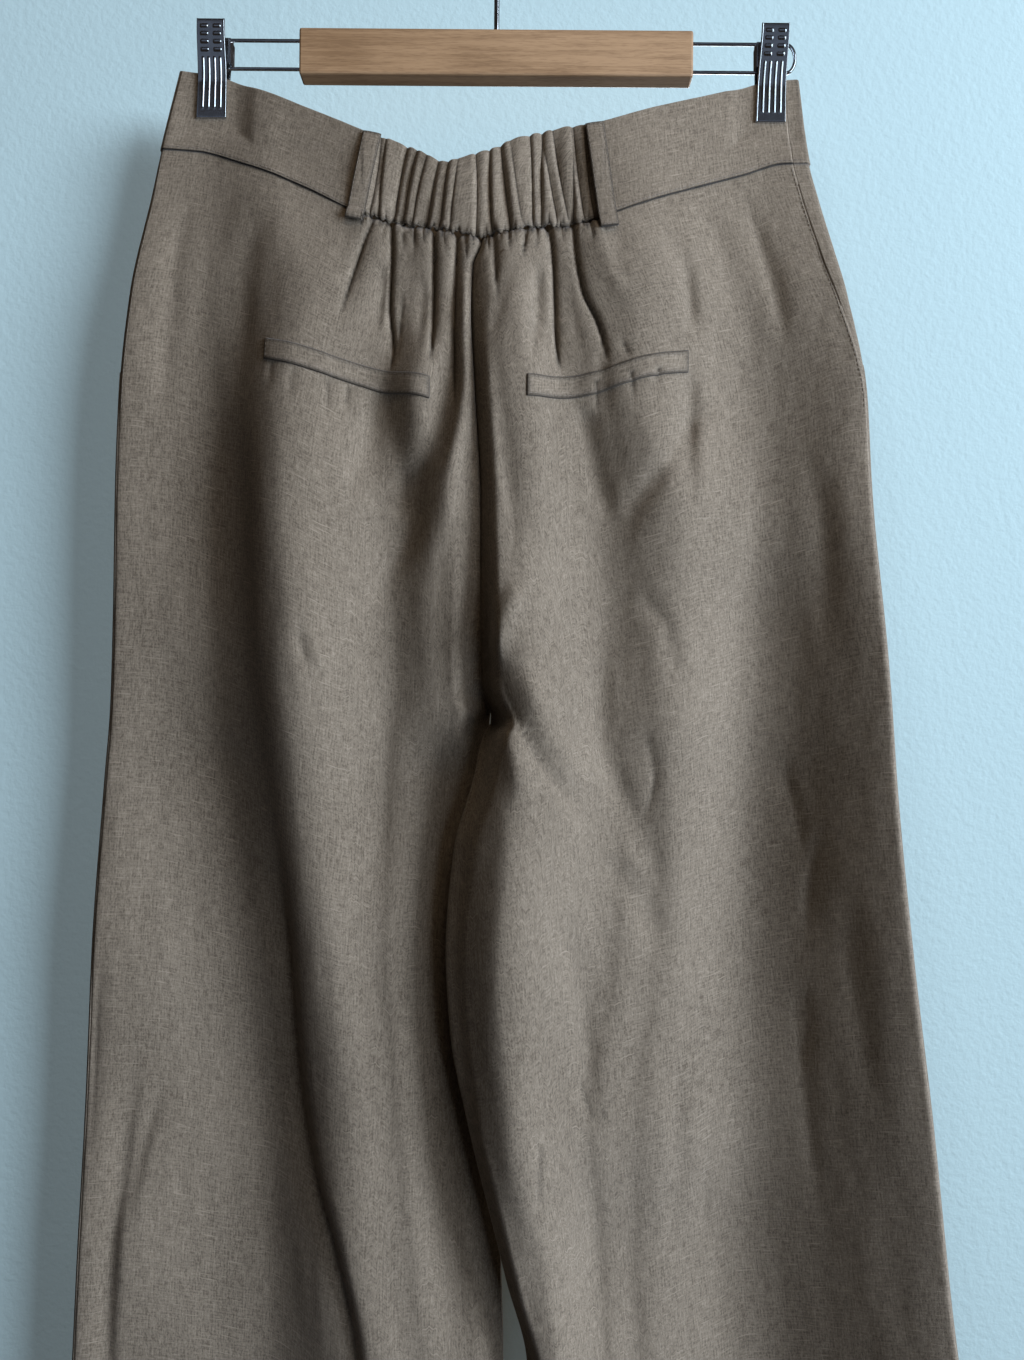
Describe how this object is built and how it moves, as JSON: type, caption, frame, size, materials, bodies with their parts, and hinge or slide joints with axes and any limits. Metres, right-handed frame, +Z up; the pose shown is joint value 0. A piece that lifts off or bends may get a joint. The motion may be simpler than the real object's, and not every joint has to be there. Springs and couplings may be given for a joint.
{
  "type": "linen trousers on a clip hanger",
  "caption": "Wide-leg linen trousers with an elasticated back waist and welt back pockets, hung by the waistband from a wooden clip hanger.",
  "frame": {"origin": "inner top of the hanger's hook, where a rail carries it", "axes": "+Z up, -Y towards the back of the trousers, +Y towards their front, +X towards the wearer's right"},
  "size_m": [0.5606, 0.0797, 1.153],
  "materials": {
    "linen": "matte plain-weave linen",
    "bar_wood": "clear satin lacquer",
    "steel": "polished plating"
  },
  "bodies": {
    "root": {"back_leg_left": "linen", "back_leg_right": "linen", "back_pocket_welt_left": "linen", "back_pocket_welt_right": "linen", "belt_loop_back_left": "linen", "belt_loop_back_right": "linen", "belt_loop_front_left": "linen", "belt_loop_front_right": "linen", "clip_plate_back_left": "steel", "clip_plate_back_right": "steel", "clip_plate_front_left": "steel", "clip_plate_front_right": "steel", "clip_saddle_left": "steel", "clip_saddle_right": "steel", "front_leg_left": "linen", "front_leg_right": "linen", "hanger_bar": "bar_wood", "hanger_hook": "steel", "hanger_rail_left": "steel", "hanger_rail_right": "steel", "pocket_facing_left": "linen", "pocket_facing_right": "linen", "waistband_back": "linen", "waistband_back_left": "linen", "waistband_back_right": "linen", "waistband_front_left": "linen", "waistband_front_right": "linen"}
  },
  "joints": []
}
